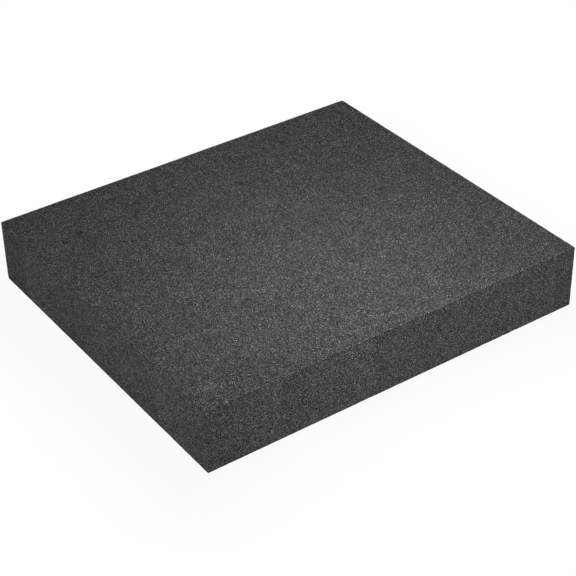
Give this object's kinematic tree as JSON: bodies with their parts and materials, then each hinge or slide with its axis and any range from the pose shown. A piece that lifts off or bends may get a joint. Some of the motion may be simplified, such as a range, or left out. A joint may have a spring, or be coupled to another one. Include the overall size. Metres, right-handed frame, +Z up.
{
  "type": "foam insert",
  "caption": "Flat rectangular slab of charcoal grey foam with crisp cut edges, laid in a case or drawer to cushion what it carries.",
  "frame": {"origin": "middle of the underside, on the plane that the slab rests on", "axes": "+X along the length, +Y along the width, +Z up through the thickness"},
  "size_m": [0.3174, 0.2794, 0.0508],
  "materials": {
    "charcoal_foam": "matte"
  },
  "bodies": {
    "root": {"foam_slab": "charcoal_foam"}
  },
  "joints": []
}
